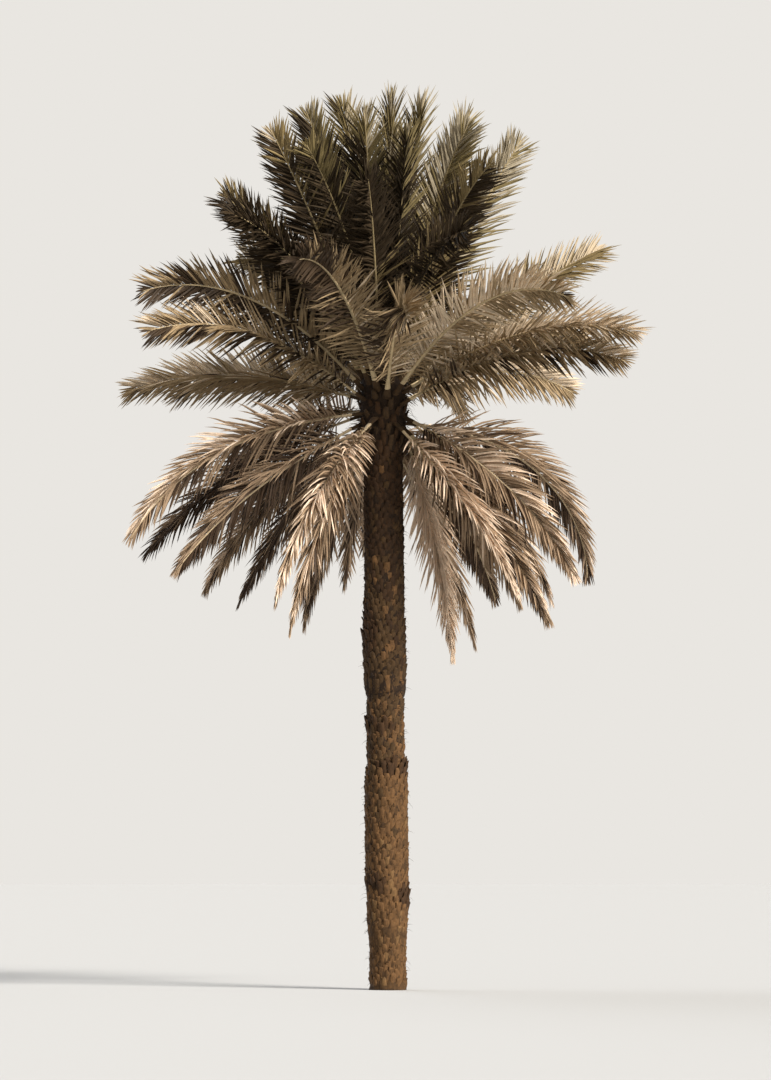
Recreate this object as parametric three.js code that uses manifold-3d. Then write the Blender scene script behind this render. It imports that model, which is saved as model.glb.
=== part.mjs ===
// A date palm, eleven metres tall, in millimetres with +Z up and the front looking along +Y.
// The origin is on the ground under the middle of the trunk, on the flat cut of its foot.
// A rough trunk carries a heart of leaf bases, and every frond is a body of its own that
// starts just clear of its leaf base. A frond is a thin rib with a row of flat leaflets on
// each side, cut in to the rib between them. Each leaflet stands for a spray of six or so.

import * as THREE from 'three';
import Module from 'manifold-3d';
import { mergeVertices } from 'three/addons/utils/BufferGeometryUtils.js';

const wasm = await Module();
wasm.setup();
const { Manifold, Mesh: SolidMesh } = wasm;

const DEGREE = Math.PI / 180;
const TURN = 2 * Math.PI;
const GOLDEN = (Math.sqrt(5) - 1) / 2;
const GAP = 0.3;
const MERGE = 1e-3;

// Trunk: heights and the radius there, from the flat cut of its foot to the underside of the heart
const TRUNK_TOP = 6500;
const TRUNK_LEAN = -60;
const TRUNK_GIRTH = [
  [0, 236], [110, 220], [480, 222], [700, 246], [1180, 250], [1320, 262], [2480, 262],
  [2620, 230], [3500, 226], [3620, 258], [4180, 258], [4340, 243], [6200, 241], [TRUNK_TOP, 246],
];
const TRUNK_SIDES = 15;
const TRUNK_ROWS = 36;
const BOOT_RELIEF = 20;

// Heart: the knot of leaf bases that the fronds grow from
const HEART_CENTRE = 7120;
const HEART_RADIUS = 300;
const HEART_RISE = 600;
const HEART_FALL = 420;
const CORE_SIDES = 15;
const CORE_DEPTH = 50;
const CORE_PROFILE = [
  [TRUNK_TOP + GAP, 246], [6650, HEART_RADIUS - CORE_DEPTH], [HEART_CENTRE, HEART_RADIUS - CORE_DEPTH],
  ...[0.35, 0.6, 0.8, 0.93].map((rise) => [
    HEART_CENTRE + HEART_RISE * rise, HEART_RADIUS * Math.sqrt(1 - rise * rise) - CORE_DEPTH,
  ]),
];
const BOOT_LENGTH = 120;
const BOOT_SPREAD = 1.2;
const BASE_SPACING = 155;
const SPREAD_ROUNDS = 80;

// Frond: rib sections from leaf base to tip, as half widths and half thicknesses
const RIB_BASE = [42, 23];
const RIB_BLADE = [24, 17];
const RIB_TIP = [6, 5];
const BLADE_START = 0.09;
const BLADE_END = 0.94;
const LEAFLET_PAIRS = 17;
const LEAFLET_LENGTH = 650;
const LEAFLET_FIRST = 0.45;
const LEAFLET_FULL_AT = 0.35;
const LEAFLET_LOSS = 0.32;
const LEAFLET_ANGLE_LOW = 60;
const LEAFLET_ANGLE_TIP = 30;
const LEAFLET_PLANES = [40, -28, 6];
const TWIST_LEAST = 48;
const TWIST_MORE = 30;
const LEAFLET_BEYOND = 110;
const SHORTER = [1, 0.72, 0.5];
const CLEARANCE = 4;
const CURVE_STEPS = 48;
const BEND_POWER = 1.5;
const BEND_LEAST = 12;
const BEND_MORE = 52;
const BEND_VARIES = 10;
const HANGING_STRAIGHTER = 0.7;
const SHORTEST_REACH = 3350;
const LONGEST_REACH = 3900;

// Age, from 0 for a young frond that rises to 1 for an old one that hangs, by the slope of its chord
// in degrees. An old frond's leaflets hang limp, grow shorter towards its tip and close in to its rib.
const AGE_FROM = 20;
const AGE_OVER = 80;
const OLD_SAG = 0.3;
const OLD_LOSS = 0.4;
const OLD_CLOSING = 0.5;

// Tips of the fronds that make the outline seen from the front: across and up from CROWN_EYE,
// the point that the fronds seem to fan out from, and any bend beyond the usual, in degrees
const CROWN_EYE = new THREE.Vector3(-60, 0, 7157);
const OUTLINE_TIPS = [
  [-1350, 3000, -18], [1740, 3300, -20], [-950, 3480], [1100, 3680, -10], [-540, 3730], [500, 3520],
  [120, 3870], [-1920, 2260, -28], [2830, 2100, -36], [-1880, 2050], [-2900, 1060], [2600, 1000, -24],
  [-2860, 600, -12], [3060, 500, -18], [-3280, 200, -36], [2930, 200, -18], [-2750, 300, -26],
  [2480, 320, -20], [-3080, -1860, 14], [2600, -2200, 60], [-2560, -2220, -6], [2180, -2400, 8],
  [-2260, -2350], [2020, -2860], [-1860, -2430, -6], [1660, -2670], [-1270, -2700, 6], [1460, -2400],
  [-1120, -3000], [1180, -2970], [-500, -2150], [870, -3240], [-3000, -1900], [2360, -2320, 6],
];

// Fronds that point at or away from the front and fill the crown inside that outline:
// how many, and the highest and lowest that they aim, in degrees above the level
const BACK_FRONDS = { count: 13, highest: 80, lowest: -50 };
const FRONT_FRONDS = { count: 11, highest: 72, lowest: 8 };
const FILL_SPREAD = 46;
const EMPTY_BAND = [-14, 2];
const FILL_REACH = 3580;

// A number from 0 to 1 that spreads evenly as the index grows
function scatter(index, offset = 0) {
  return (index * GOLDEN + offset) % 1;
}

// Height and radius pairs, read at any height by straight lines between them
function readProfile(profile, height) {
  let upper = profile.findIndex(([z]) => z >= height);
  if (upper < 0) upper = profile.length - 1;
  if (upper === 0) return profile[0][1];
  const [z0, r0] = profile[upper - 1];
  const [z1, r1] = profile[upper];
  return THREE.MathUtils.lerp(r0, r1, (height - z0) / (z1 - z0));
}

function axisAt(height) {
  return TRUNK_LEAN * Math.min(1, height / TRUNK_TOP);
}

// A closed body from rows of points, every row with the same number, capped flat at both ends.
// Each row is turned half a step from the last, so that its faces are diamonds.
function stackedRows(rows) {
  const sides = rows[0].length;
  const positions = [];
  const put = (...points) => points.forEach((p) => positions.push(p.x, p.y, p.z));
  for (let row = 0; row + 1 < rows.length; row += 1) {
    const low = rows[row];
    const high = rows[row + 1];
    for (let i = 0; i < sides; i += 1) {
      const next = (i + 1) % sides;
      if (row % 2 === 0) {
        put(low[i], low[next], high[i]);
        put(low[next], high[next], high[i]);
      } else {
        put(low[i], high[next], high[i]);
        put(low[i], low[next], high[next]);
      }
    }
  }
  const last = rows[rows.length - 1];
  for (let i = 1; i + 1 < sides; i += 1) {
    put(rows[0][0], rows[0][i + 1], rows[0][i]);
    put(last[0], last[i], last[i + 1]);
  }
  return bodyOf(positions);
}

function bodyOf(positions) {
  const geometry = new THREE.BufferGeometry();
  geometry.setAttribute('position', new THREE.Float32BufferAttribute(positions, 3));
  return mergeVertices(geometry, MERGE);
}

function ringOf(height, sides, row, radiusAt) {
  return Array.from({ length: sides }, (_, i) => {
    const angle = ((i + (row % 2) / 2) / sides) * TURN;
    const radius = radiusAt(i);
    return new THREE.Vector3(axisAt(height) + radius * Math.cos(angle), radius * Math.sin(angle), height);
  });
}

// The trunk: every third corner stands out, in slow spirals, as the stub of an old leaf base
function trunkGeometry() {
  const rows = [];
  for (let row = 0; row <= TRUNK_ROWS; row += 1) {
    const height = (TRUNK_TOP * row) / TRUNK_ROWS;
    const girth = readProfile(TRUNK_GIRTH, height);
    const plain = row < 2 || row > TRUNK_ROWS - 2;
    rows.push(ringOf(height, TRUNK_SIDES, row, (i) => {
      const stub = (i - Math.ceil(row / 2) + 2 * row + TRUNK_SIDES) % 3 === 0;
      return plain ? girth : girth + (stub ? BOOT_RELIEF : -BOOT_RELIEF / 4);
    }));
  }
  return stackedRows(rows);
}

// How much a frond bends between its base and its tip: most where it reaches out level, and less
// where it hangs
function bendOf(slope, index) {
  const hanging = Math.max(0, -Math.sin(slope));
  const level = Math.cos(slope) ** 2 * (1 - HANGING_STRAIGHTER * hanging);
  const extra = OUTLINE_TIPS[index]?.[2] ?? 0;
  return (BEND_LEAST + BEND_MORE * level + BEND_VARIES * (scatter(index, 0.3) - 0.5) + extra) * DEGREE;
}

// How far a blade has turned about its rib by its tip, to one hand or the other
function twistOf(index) {
  const share = 2 * scatter(index, 0.6) - 1;
  return Math.sign(share) * (TWIST_LEAST + TWIST_MORE * Math.abs(share)) * DEGREE;
}

function ageOf(slope) {
  return THREE.MathUtils.clamp((AGE_FROM - slope / DEGREE) / AGE_OVER, 0, 1);
}

// The curve of a rib of length 1 that starts level: across and up at each step
function levelCurve(bend) {
  const curve = [[0, 0]];
  for (let step = 0; step < CURVE_STEPS; step += 1) {
    const slope = -bend * ((step + 0.5) / CURVE_STEPS) ** BEND_POWER;
    const [across, up] = curve[step];
    curve.push([across + Math.cos(slope) / CURVE_STEPS, up + Math.sin(slope) / CURVE_STEPS]);
  }
  return curve;
}

// The heart's surface, where a frond leaves it: a dome over its centre and a short column below it
function onHeart(point) {
  const away = new THREE.Vector2(point.x - axisAt(point.z), point.y);
  const azimuth = away.angle();
  const climb = Math.atan2((point.z - HEART_CENTRE) / HEART_RISE, away.length() / HEART_RADIUS);
  const radius = climb > 0 ? HEART_RADIUS * Math.cos(climb) : HEART_RADIUS;
  const lowest = HEART_CENTRE - HEART_FALL;
  const height = climb > 0 ? HEART_CENTRE + HEART_RISE * Math.sin(climb) : Math.max(lowest, point.z);
  return new THREE.Vector3(axisAt(height) + radius * Math.cos(azimuth), radius * Math.sin(azimuth), height);
}

// Leaf bases: each starts on the side that its frond goes to, and crowded ones push each other apart
function leafBases(tips) {
  const bases = tips.map((tip) => {
    const way = tip.clone().sub(CROWN_EYE).normalize();
    const level = Math.hypot(way.x, way.y);
    const height = HEART_CENTRE + (way.z > 0 ? HEART_RISE : HEART_FALL) * way.z;
    const radius = HEART_RADIUS * (way.z > 0 ? level : 1);
    return new THREE.Vector3(axisAt(height) + (radius * way.x) / level, (radius * way.y) / level, height);
  });
  for (let round = 0; round < SPREAD_ROUNDS; round += 1) {
    const pushes = bases.map((base) => bases.reduce((push, other) => {
      const apart = base.clone().sub(other);
      const lack = BASE_SPACING - apart.length();
      return other === base || lack <= 0 ? push : push.addScaledVector(apart.normalize(), lack / 2);
    }, new THREE.Vector3()));
    bases.forEach((base, i) => base.copy(onHeart(base.add(pushes[i]))));
  }
  return bases;
}

// A frond whose outermost leaflets reach a tip: its length, its first slope and the way that it faces
function frondTo(base, tip, index) {
  const chord = tip.clone().sub(base);
  chord.setLength(chord.length() - LEAFLET_BEYOND);
  const facing = Math.atan2(chord.y, chord.x);
  const slope = Math.atan2(chord.z, Math.hypot(chord.x, chord.y));
  const bend = bendOf(slope, index);
  const curve = levelCurve(bend);
  const [endAcross, endUp] = curve[CURVE_STEPS];
  return {
    index,
    base,
    facing,
    slope,
    bend,
    curve,
    age: ageOf(slope),
    twist: twistOf(index),
    start: slope - Math.atan2(endUp, endAcross),
    length: chord.length() / Math.hypot(endAcross, endUp),
  };
}

function outlineTips() {
  return OUTLINE_TIPS.map(([across, up], i) => {
    const depthFor = (reach) => Math.sqrt(Math.max(0, reach ** 2 - across ** 2 - up ** 2));
    const behindTrunk = up < 0 && Math.abs(across) < 1000;
    const share = behindTrunk ? scatter(i) : 2 * scatter(i) - 1;
    const depth = THREE.MathUtils.lerp(depthFor(SHORTEST_REACH), depthFor(LONGEST_REACH), Math.abs(share));
    return new THREE.Vector3(across, depth * Math.sign(share), up).add(CROWN_EYE);
  });
}

function fillTips({ count, highest, lowest }, facing) {
  const [bandLow, bandHigh] = EMPTY_BAND;
  return Array.from({ length: count }, (_, i) => {
    const evenly = highest + ((lowest - highest) * i) / (count - 1);
    const aim = (evenly > bandLow && evenly < bandHigh ? bandHigh : evenly) * DEGREE;
    const turn = (facing + FILL_SPREAD * (2 * scatter(i, 0.37) - 1)) * DEGREE;
    const level = FILL_REACH * Math.cos(aim);
    const tip = new THREE.Vector3(level * Math.cos(turn), level * Math.sin(turn), FILL_REACH * Math.sin(aim));
    return tip.add(CROWN_EYE);
  });
}

// The frame of a rib at a share of its length: its point, its way on, its side and its upper face
function ribFrame(frond, share) {
  const at = Math.min(share, 1) * CURVE_STEPS;
  const step = Math.min(CURVE_STEPS - 1, Math.floor(at));
  const [a0, u0] = frond.curve[step];
  const [a1, u1] = frond.curve[step + 1];
  const across = THREE.MathUtils.lerp(a0, a1, at - step) * frond.length;
  const up = THREE.MathUtils.lerp(u0, u1, at - step) * frond.length;
  const slope = frond.start - frond.bend * share ** BEND_POWER;
  const out = new THREE.Vector3(Math.cos(frond.facing), Math.sin(frond.facing), 0);
  const reach = across * Math.cos(frond.start) - up * Math.sin(frond.start);
  const rise = across * Math.sin(frond.start) + up * Math.cos(frond.start);
  const point = frond.base.clone().addScaledVector(out, reach);
  point.z += rise;
  const along = out.clone().multiplyScalar(Math.cos(slope));
  along.z = Math.sin(slope);
  const side = new THREE.Vector3(-out.y, out.x, 0).applyAxisAngle(along, frond.twist * Math.sqrt(share));
  return { point, along, side, over: along.clone().cross(side) };
}

// The four corners of a rib's section: upper left, upper right, lower right, lower left
function section({ point, side, over }, [halfWidth, halfThick]) {
  const corner = (s, o) => point.clone().addScaledVector(side, s * halfWidth).addScaledVector(over, o * halfThick);
  return [corner(1, 1), corner(-1, 1), corner(-1, -1), corner(1, -1)];
}

function ribSize(share) {
  const early = share < BLADE_START;
  const from = early ? RIB_BASE : RIB_BLADE;
  const to = early ? RIB_BLADE : RIB_TIP;
  const part = early ? share / BLADE_START : (share - BLADE_START) / (1 - BLADE_START);
  return [THREE.MathUtils.lerp(from[0], to[0], part), THREE.MathUtils.lerp(from[1], to[1], part)];
}

// Leaflets grow longer up to a third of the blade and then shorter to its tip, most on an old frond
function leafletLength(blade, age) {
  const opening = Math.min(1, LEAFLET_FIRST + blade / LEAFLET_FULL_AT);
  const past = Math.max(0, (blade - LEAFLET_FULL_AT) / (1 - LEAFLET_FULL_AT));
  return LEAFLET_LENGTH * opening * (1 - (LEAFLET_LOSS + OLD_LOSS * age) * past ** 1.6);
}

// Leaflets lean on towards the tip, and those of an old frond close in to its rib
function leafletAngle(blade, age) {
  return THREE.MathUtils.lerp(LEAFLET_ANGLE_LOW, LEAFLET_ANGLE_TIP, blade) * (1 - OLD_CLOSING * age * blade) * DEGREE;
}

// The point of a leaflet that grows from the middle of a side face
function leafletPoint(frond, pair, hand, scale) {
  const blade = (pair + 0.5) / LEAFLET_PAIRS;
  const share = THREE.MathUtils.lerp(BLADE_START, BLADE_END, blade);
  const { point, along, side, over } = ribFrame(frond, share);
  const angle = leafletAngle(blade, frond.age);
  const plane = LEAFLET_PLANES[(pair + (hand > 0 ? 0 : 1)) % LEAFLET_PLANES.length] * DEGREE;
  const way = along.clone().multiplyScalar(Math.cos(angle));
  way.addScaledVector(side, hand * Math.sin(angle) * Math.cos(plane));
  way.addScaledVector(over, Math.sin(angle) * Math.sin(plane));
  way.z -= OLD_SAG * frond.age ** 1.5;
  way.normalize();
  return point.clone().addScaledVector(way, leafletLength(blade, frond.age) * scale);
}

function solidOf(points, triangles) {
  const vertProperties = new Float32Array(points.flatMap((p) => [p.x, p.y, p.z]));
  const triVerts = new Uint32Array(triangles.flat());
  return new Manifold(new SolidMesh({ numProp: 3, vertProperties, triVerts }));
}

const BOX_FACES = [
  [0, 2, 1], [0, 3, 2], [4, 5, 6], [4, 6, 7], [0, 5, 4], [0, 1, 5],
  [2, 7, 6], [2, 3, 7], [0, 4, 7], [0, 7, 3], [2, 6, 5], [2, 5, 1],
];
const SPIKE_FACES = [[0, 2, 1], [0, 3, 2], [0, 1, 4], [1, 2, 4], [2, 3, 4], [3, 0, 4]];

const STEM = -1;

// A body kept with its box, to see quickly which bodies can touch
function obstacle(points, faces, owner) {
  const box = new THREE.Box3().setFromPoints(points);
  return { owner, box, solid: solidOf(points, faces) };
}

function touches(one, others) {
  return others.some((other) => {
    if (other.owner === one.owner || !other.box.intersectsBox(one.box)) return false;
    const common = one.solid.intersect(other.solid);
    const hit = !common.isEmpty();
    common.delete();
    return hit;
  });
}

function stationShares() {
  const shares = [0, BLADE_START / 2];
  for (let i = 0; i <= LEAFLET_PAIRS; i += 1) {
    shares.push(THREE.MathUtils.lerp(BLADE_START, BLADE_END, i / LEAFLET_PAIRS));
  }
  return shares;
}

const SHARES = stationShares();
const FIRST_BLADE = 2;

function ribSections(frond, grow = 0) {
  return SHARES.map((share) => {
    const [halfWidth, halfThick] = ribSize(share);
    return section(ribFrame(frond, share), [halfWidth + grow, halfThick + grow]);
  });
}

// The corners of a rib's side face between two sections, in the order that faces outwards
function sideCorners(near, far, hand) {
  return hand > 0 ? [near[0], far[0], far[3], near[3]] : [near[2], far[2], far[1], near[1]];
}

// A leaflet's body grown by the clearance on every side, with its foot on the rib's side face
function leafletBody(frond, sections, pair, hand, scale) {
  const [near, far] = [sections[FIRST_BLADE + pair], sections[FIRST_BLADE + pair + 1]];
  const foot = sideCorners(near, far, hand);
  const middle = new THREE.Vector3();
  foot.forEach((corner) => middle.addScaledVector(corner, 0.25));
  const point = leafletPoint(frond, pair, hand, scale);
  const beyond = point.clone().sub(middle).setLength(CLEARANCE * 3).add(point);
  return obstacle([...foot, beyond], SPIKE_FACES, frond.index);
}

function stemObstacle(geometry) {
  geometry.computeBoundingBox();
  return { owner: STEM, box: geometry.boundingBox, solid: solidFrom(geometry) };
}

// Gives every leaflet the greatest length that keeps it clear of the other fronds and the heart
function growLeaflets(fronds, obstacles) {
  const bodies = [...obstacles];
  const grown = fronds.map((frond) => ribSections(frond, CLEARANCE));
  fronds.forEach((frond, f) => {
    for (let i = 0; i + 1 < SHARES.length; i += 1) {
      bodies.push(obstacle([...grown[f][i], ...grown[f][i + 1]], BOX_FACES, frond.index));
    }
    frond.leaflets = [];
  });
  for (let pair = 0; pair < LEAFLET_PAIRS; pair += 1) {
    fronds.forEach((frond, f) => {
      [1, -1].forEach((hand) => {
        const scale = SHORTER.find((size) => {
          const body = leafletBody(frond, grown[f], pair, hand, size);
          if (touches(body, bodies)) return false;
          bodies.push(body);
          return true;
        });
        frond.leaflets.push({ pair, hand, scale: scale ?? 0 });
      });
    });
  }
}

// A frond as one closed body: the rib's faces, with a pointed leaflet on each side face that has one
function frondGeometry(frond) {
  const sections = ribSections(frond);
  const positions = [];
  const put = (...points) => points.forEach((p) => positions.push(p.x, p.y, p.z));
  const scaleOf = (pair, hand) => frond.leaflets.find((leaf) => leaf.pair === pair && leaf.hand === hand)?.scale;
  const sideFace = (corners, pair, hand) => {
    const scale = pair < 0 ? 0 : scaleOf(pair, hand);
    if (!scale) {
      put(corners[0], corners[1], corners[2]);
      put(corners[0], corners[2], corners[3]);
      return;
    }
    const point = leafletPoint(frond, pair, hand, scale);
    corners.forEach((corner, i) => put(corner, corners[(i + 1) % 4], point));
  };
  put(sections[0][0], sections[0][2], sections[0][1]);
  put(sections[0][0], sections[0][3], sections[0][2]);
  for (let i = 0; i + 1 < sections.length; i += 1) {
    const [near, far] = [sections[i], sections[i + 1]];
    put(near[0], far[1], far[0]);
    put(near[0], near[1], far[1]);
    put(near[2], far[3], far[2]);
    put(near[2], near[3], far[3]);
    [1, -1].forEach((hand) => sideFace(sideCorners(near, far, hand), i - FIRST_BLADE, hand));
  }
  const tip = ribFrame(frond, 1).point;
  const end = sections[sections.length - 1];
  end.forEach((corner, i) => put(corner, end[(i + 1) % 4], tip));
  return bodyOf(positions);
}

// A leaf base: a stub that widens as it goes back from its frond into the heart
function leafBaseSolid(frond) {
  const frame = ribFrame(frond, 0);
  const front = { ...frame, point: frame.point.clone().addScaledVector(frame.along, -GAP) };
  const back = { ...frame, point: frame.point.clone().addScaledVector(frame.along, -BOOT_LENGTH) };
  const wide = RIB_BASE.map((size) => size * BOOT_SPREAD);
  return solidOf([...section(back, wide), ...section(front, RIB_BASE)], BOX_FACES);
}

function geometryOf(solid) {
  const { vertProperties, triVerts } = solid.getMesh();
  const geometry = new THREE.BufferGeometry();
  geometry.setAttribute('position', new THREE.BufferAttribute(vertProperties, 3));
  geometry.setIndex(new THREE.BufferAttribute(triVerts, 1));
  return geometry;
}

function coreGeometry() {
  return stackedRows(CORE_PROFILE.map(([height, radius], row) => ringOf(height, CORE_SIDES, row, () => radius)));
}

function solidFrom(geometry) {
  const triVerts = new Uint32Array(geometry.index.array);
  return new Manifold(new SolidMesh({ numProp: 3, vertProperties: geometry.attributes.position.array, triVerts }));
}

// The heart in one solid: pockets that the leaf bases close off between them are filled
function heartSolid(fronds) {
  const core = solidFrom(coreGeometry());
  const joined = fronds.reduce((heart, frond) => heart.add(leafBaseSolid(frond)), core);
  return largestBody(solidFrom(mergeVertices(geometryOf(largestBody(joined)), MERGE)));
}

function largestBody(solid) {
  return solid.decompose().sort((a, b) => b.volume() - a.volume())[0];
}

const BARK = new THREE.MeshStandardMaterial({ color: '#5d4730', roughness: 0.95, metalness: 0 });
const FIBRE = new THREE.MeshStandardMaterial({ color: '#43331f', roughness: 0.95, metalness: 0 });

// What a frond is called and its colour, by the slope of its chord in degrees above the level
const FROND_KINDS = [
  { name: 'upright_frond', above: 50, colour: '#4c4029' },
  { name: 'rising_frond', above: 25, colour: '#5c4c33' },
  { name: 'spreading_frond', above: -5, colour: '#6b583c' },
  { name: 'drooping_frond', above: -90, colour: '#7a634a' },
];

function named(name, geometry, material) {
  const mesh = new THREE.Mesh(geometry, material);
  mesh.name = name;
  return mesh;
}

const tips = [...outlineTips(), ...fillTips(BACK_FRONDS, 90), ...fillTips(FRONT_FRONDS, -90)];
const fronds = leafBases(tips).map((base, i) => frondTo(base, tips[i], i));

const trunk = trunkGeometry();
const heart = geometryOf(heartSolid(fronds));
growLeaflets(fronds, [trunk, heart].map(stemObstacle));

const palm = new THREE.Group();
palm.add(named('trunk', trunk, BARK));
palm.add(named('heart_of_leaf_bases', heart, FIBRE));
const counts = {};
fronds.forEach((frond) => {
  const { name, colour } = FROND_KINDS.find(({ above }) => frond.slope > above * DEGREE);
  counts[name] = (counts[name] ?? 0) + 1;
  const foliage = new THREE.MeshStandardMaterial({ color: colour, roughness: 0.8, metalness: 0 });
  palm.add(named(`${name}_${String(counts[name]).padStart(2, '0')}`, frondGeometry(frond), foliage));
});

export default palm;
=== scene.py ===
"""A date palm eleven metres tall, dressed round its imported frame, in metres with +Z up.

The frame is the plain tree. This file grows the fine one by the same rule: the same ribs and the same
sprays, each spray carried on to its leaflets, with bark, fibre and leaf stubs on the trunk and heart.
"""

import math
from dataclasses import dataclass

import bpy
import numpy as np
from bpy.props import FloatProperty, FloatVectorProperty, IntProperty, PointerProperty
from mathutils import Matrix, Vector


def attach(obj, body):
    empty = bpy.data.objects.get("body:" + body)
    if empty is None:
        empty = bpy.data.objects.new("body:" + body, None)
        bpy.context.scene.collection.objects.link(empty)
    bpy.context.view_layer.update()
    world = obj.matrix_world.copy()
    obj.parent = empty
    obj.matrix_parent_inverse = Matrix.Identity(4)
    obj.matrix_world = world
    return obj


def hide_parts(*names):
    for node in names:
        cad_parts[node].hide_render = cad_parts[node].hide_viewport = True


bl_info = {
    "name": "Date Palm",
    "version": (1, 0, 0),
    "blender": (4, 5, 0),
    "location": "View3D > Sidebar > Palm",
    "description": "Builds the trunk, heart and fronds of a date palm round its packed frame",
    "category": "Add Mesh",
}

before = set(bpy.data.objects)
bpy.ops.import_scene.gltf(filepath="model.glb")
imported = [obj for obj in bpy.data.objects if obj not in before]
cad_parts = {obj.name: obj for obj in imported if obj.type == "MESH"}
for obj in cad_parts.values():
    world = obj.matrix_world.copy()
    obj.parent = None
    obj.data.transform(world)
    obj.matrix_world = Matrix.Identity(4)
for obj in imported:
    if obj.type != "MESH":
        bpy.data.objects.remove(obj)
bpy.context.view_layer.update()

TURN = 2 * math.pi
GOLDEN = (math.sqrt(5) - 1) / 2
BODY = "root"

# Trunk: heights and the radius there, and how far its top leans to the left
TRUNK_TOP = 6.5
TRUNK_LEAN = -0.06
TRUNK_GIRTH = np.array([
    [0, 0.236], [0.11, 0.22], [0.48, 0.222], [0.7, 0.246], [1.18, 0.25], [1.32, 0.262], [2.48, 0.262],
    [2.62, 0.23], [3.5, 0.226], [3.62, 0.258], [4.18, 0.258], [4.34, 0.243], [6.2, 0.241], [TRUNK_TOP, 0.246],
])

# Heart: the knot of leaf bases that the fronds grow from, a dome on a short column, and the least
# distance between two leaf bases on it, which rounds of pushing apart give them
HEART_CENTRE = 7.12
HEART_RADIUS = 0.3
HEART_RISE = 0.6
HEART_FALL = 0.42
BASE_SPACING = 0.155
SPREAD_ROUNDS = 80

# Rib: half widths and half thicknesses at shares of its length
RIB_SHARES = [0, 0.09, 1]
RIB_HALF_WIDTHS = [0.042, 0.024, 0.006]
RIB_HALF_THICKS = [0.023, 0.017, 0.005]

# Blade: the shares of the rib between which it carries pairs of sprays, and how far the last leaflets
# reach beyond the rib's tip
BLADE_START = 0.09
BLADE_END = 0.94
SPRAY_PAIRS = 17
LEAFLET_BEYOND = 0.11

# Leaflets: the longest, the first as a share of it, the share of the blade after which they shorten and over
# which they would grow by a whole length, what the last have lost and how late, their angles from the rib at
# the blade's foot and tip, and their planes by turns
LEAFLET_LENGTH = 0.65
LEAFLET_FIRST = 0.45
LEAFLET_FULL_AT = 0.35
LEAFLET_LOSS = 0.32
LOSS_POWER = 1.6
LEAFLET_ANGLE_LOW = math.radians(60)
LEAFLET_ANGLE_TIP = math.radians(30)
LEAFLET_PLANES = np.radians([40, -28, 6])

# Age: it shows from one slope of a frond down and is 1 so much further down, and how far the leaflets
# of the oldest fronds sag, shorten and close in to the rib
AGE_FROM = math.radians(20)
AGE_OVER = math.radians(80)
OLD_SAG = 0.3
OLD_LOSS = 0.4
OLD_CLOSING = 0.5

# Course of a rib: its twist, and its bend in degrees, most on level fronds and less on hanging ones
TWIST_LEAST = math.radians(48)
TWIST_MORE = math.radians(30)
CURVE_STEPS = 48
BEND_POWER = 1.5
BEND_LEAST = 12
BEND_MORE = 52
BEND_VARIES = 10
HANGING_STRAIGHTER = 0.7

# Tips of the fronds that make the outline seen from the front: across and up from CROWN_EYE,
# the point that the fronds seem to fan out from, and any bend beyond the usual, in degrees.
# Each tip comes forward or goes back until its true distance from there is between the two reaches
CROWN_EYE = np.array([-0.06, 0, 7.157])
SHORTEST_REACH = 3.35
LONGEST_REACH = 3.9
OUTLINE_TIPS = [
    (-1.35, 3, -18), (1.74, 3.3, -20), (-0.95, 3.48), (1.1, 3.68, -10), (-0.54, 3.73), (0.5, 3.52),
    (0.12, 3.87), (-1.92, 2.26, -28), (2.83, 2.1, -36), (-1.88, 2.05), (-2.9, 1.06), (2.6, 1, -24),
    (-2.86, 0.6, -12), (3.06, 0.5, -18), (-3.28, 0.2, -36), (2.93, 0.2, -18), (-2.75, 0.3, -26),
    (2.48, 0.32, -20), (-3.08, -1.86, 14), (2.6, -2.2, 60), (-2.56, -2.22, -6), (2.18, -2.4, 8),
    (-2.26, -2.35), (2.02, -2.86), (-1.86, -2.43, -6), (1.66, -2.67), (-1.27, -2.7, 6), (1.46, -2.4),
    (-1.12, -3), (1.18, -2.97), (-0.5, -2.15), (0.87, -3.24), (-3, -1.9), (2.36, -2.32, 6),
]

# Fronds that fill the crown inside that outline, at the back and at the front of it, in degrees: they
# spread that far to each side of where they face, and leave the band between crown and skirt empty
BACK_FRONDS = {"count": 13, "highest": 80, "lowest": -50, "facing": 90}
FRONT_FRONDS = {"count": 11, "highest": 72, "lowest": 8, "facing": -90}
FILL_SPREAD = 46
EMPTY_BAND = (-14, 2)
FILL_REACH = 3.58

# The kinds of frond, from the steepest down: name, least slope in degrees, and material slot
FROND_KINDS = [
    ("upright", 50, "young_fronds"),
    ("rising", 25, "young_fronds"),
    ("spreading", -5, "full_grown_fronds"),
    ("drooping", -90, "old_fronds"),
]

# Marks on the trunk, where old stubs stand out further: height, the side in degrees, how far round
# and how far up the mark runs, and how much longer its stubs are
TRUNK_MARKS = [
    (4.22, 180, 75, 0.32, 0.45),
    (3.07, 190, 110, 0.05, 0.6),
    (2.58, -10, 110, 0.06, 0.65),
    (1.18, 200, 80, 0.06, 0.5),
    (1.0, -5, 60, 0.16, 0.5),
]


def linear(colour):
    """The linear colour and full alpha of an sRGB hex value such as #5d4730."""
    shares = [int(colour[i:i + 2], 16) / 255 for i in (1, 3, 5)]
    return tuple(((s + 0.055) / 1.055) ** 2.4 if s > 0.04045 else s / 12.92 for s in shares) + (1.0,)


def colour_property(name, description, colour):
    """A colour that a user can change."""
    return FloatVectorProperty(
        name=name, description=description, subtype="COLOR", size=4, min=0, max=1, default=linear(colour)
    )


def length_property(name, description, default):
    """A length in metres that a user can change."""
    return FloatProperty(name=name, description=description, default=default, min=0, unit="LENGTH")


def strength_property(name, description, default):
    """The strength of a light, which a user can change."""
    return FloatProperty(name=name, description=description, default=default, min=0)


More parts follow.
